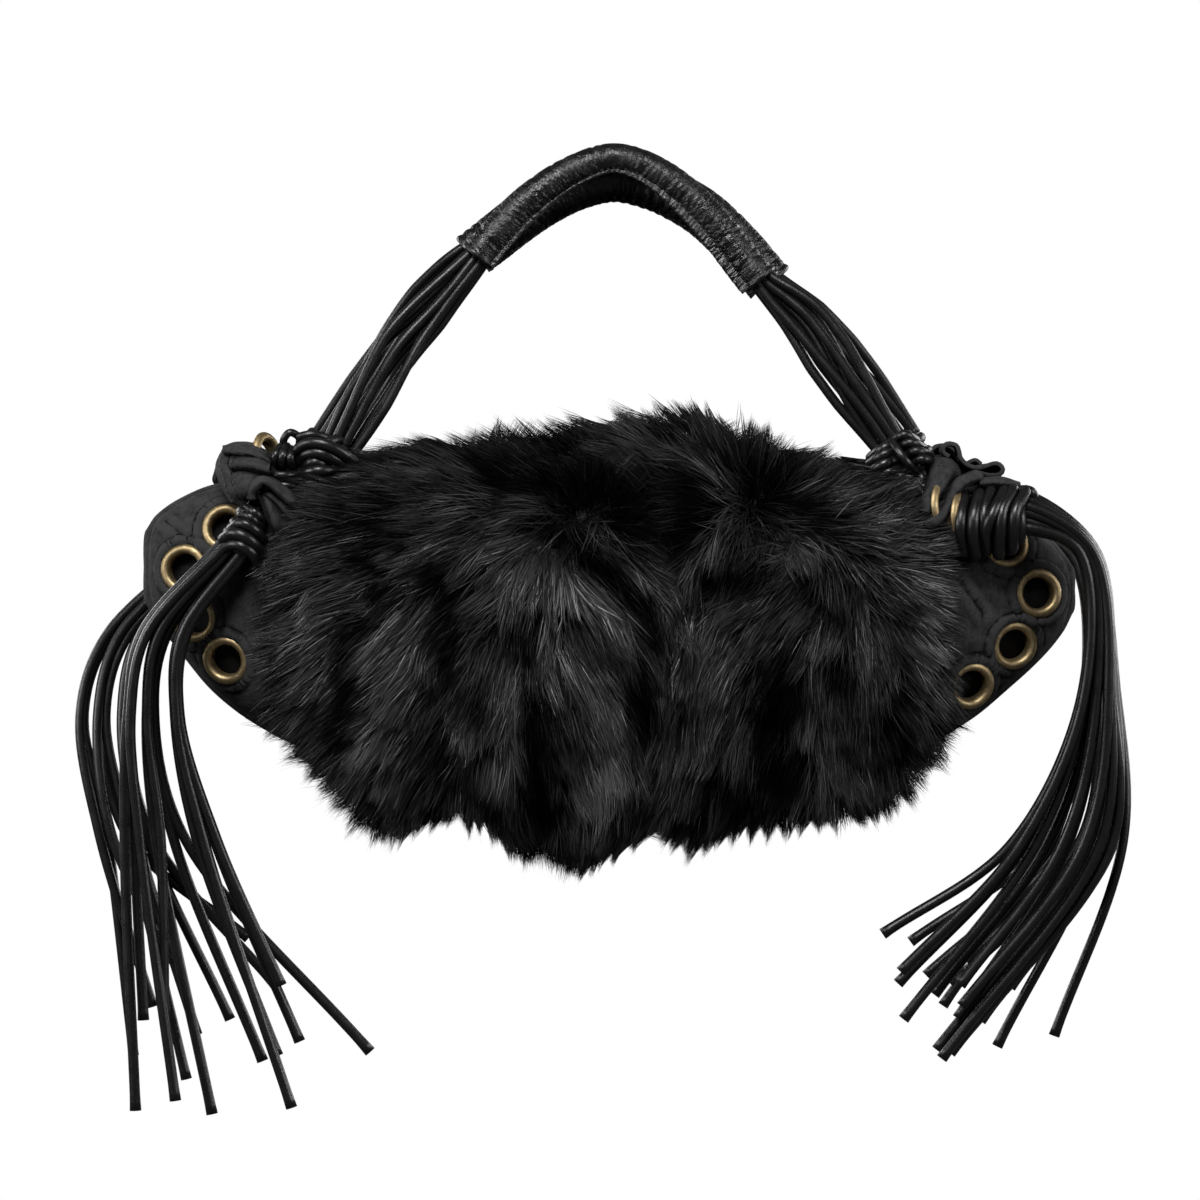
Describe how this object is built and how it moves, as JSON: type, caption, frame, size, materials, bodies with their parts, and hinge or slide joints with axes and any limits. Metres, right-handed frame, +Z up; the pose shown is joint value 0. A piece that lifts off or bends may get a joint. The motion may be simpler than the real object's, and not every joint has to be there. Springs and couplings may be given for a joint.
{
  "type": "fur handbag",
  "caption": "Soft long-haired black fur handbag hanging by its pair of arched handles, with bare leather ends, brass eyelets, wound cord knots and long corner tassels of leather cord",
  "frame": {"origin": "the point under the two grips at the top of the handles, where a hook, hand or shoulder carries the bag", "axes": "+Z up as it hangs; +X along the bag's length, to the right seen from its face; +Y from its face towards the wearer, through its thickness; the two ends differ a little, as the soft leather does"},
  "size_m": [0.4685, 0.1358, 0.4299],
  "materials": {
    "black_fur": "long silky hair, black with grey sheen",
    "nubuck_leather": "matte charcoal nubuck",
    "cord_leather": "smooth semi-gloss black round cord",
    "grip_leather": "crinkled glazed black",
    "antique_brass": "antiqued, dark in the rolls, worn bright on the crown"
  },
  "bodies": {
    "root": {"end_left": "nubuck_leather", "eyelet_left_1": "antique_brass", "eyelet_left_2": "antique_brass", "eyelet_left_3": "antique_brass", "eyelet_left_4": "antique_brass", "eyelet_left_5": "antique_brass", "eyelet_left_6": "antique_brass", "eyelet_left_7": "antique_brass", "eyelet_left_8": "antique_brass", "end_right": "nubuck_leather", "eyelet_right_1": "antique_brass", "eyelet_right_2": "antique_brass", "eyelet_right_3": "antique_brass", "eyelet_right_4": "antique_brass", "eyelet_right_5": "antique_brass", "eyelet_right_6": "antique_brass", "eyelet_right_7": "antique_brass", "eyelet_right_8": "antique_brass", "gather_left_front": "nubuck_leather", "knot_left_front": "cord_leather", "tassel_left_front": "cord_leather", "eyelet_pleat_left_front_1": "antique_brass", "gather_right_front": "nubuck_leather", "knot_right_front": "cord_leather", "tassel_right_front": "cord_leather", "eyelet_pleat_right_front_1": "antique_brass", "eyelet_pleat_right_front_2": "antique_brass", "wall_front": "nubuck_leather", "fur_front": "black_fur", "handle_cords_front": "cord_leather", "grip_front": "grip_leather", "gather_left_back": "nubuck_leather", "knot_left_back": "cord_leather", "tassel_left_back": "cord_leather", "eyelet_pleat_left_back_1": "antique_brass", "gather_right_back": "nubuck_leather", "knot_right_back": "cord_leather", "tassel_right_back": "cord_leather", "eyelet_pleat_right_back_1": "antique_brass", "wall_back": "nubuck_leather", "fur_back": "black_fur", "handle_cords_back": "cord_leather", "grip_back": "grip_leather"}
  },
  "joints": []
}
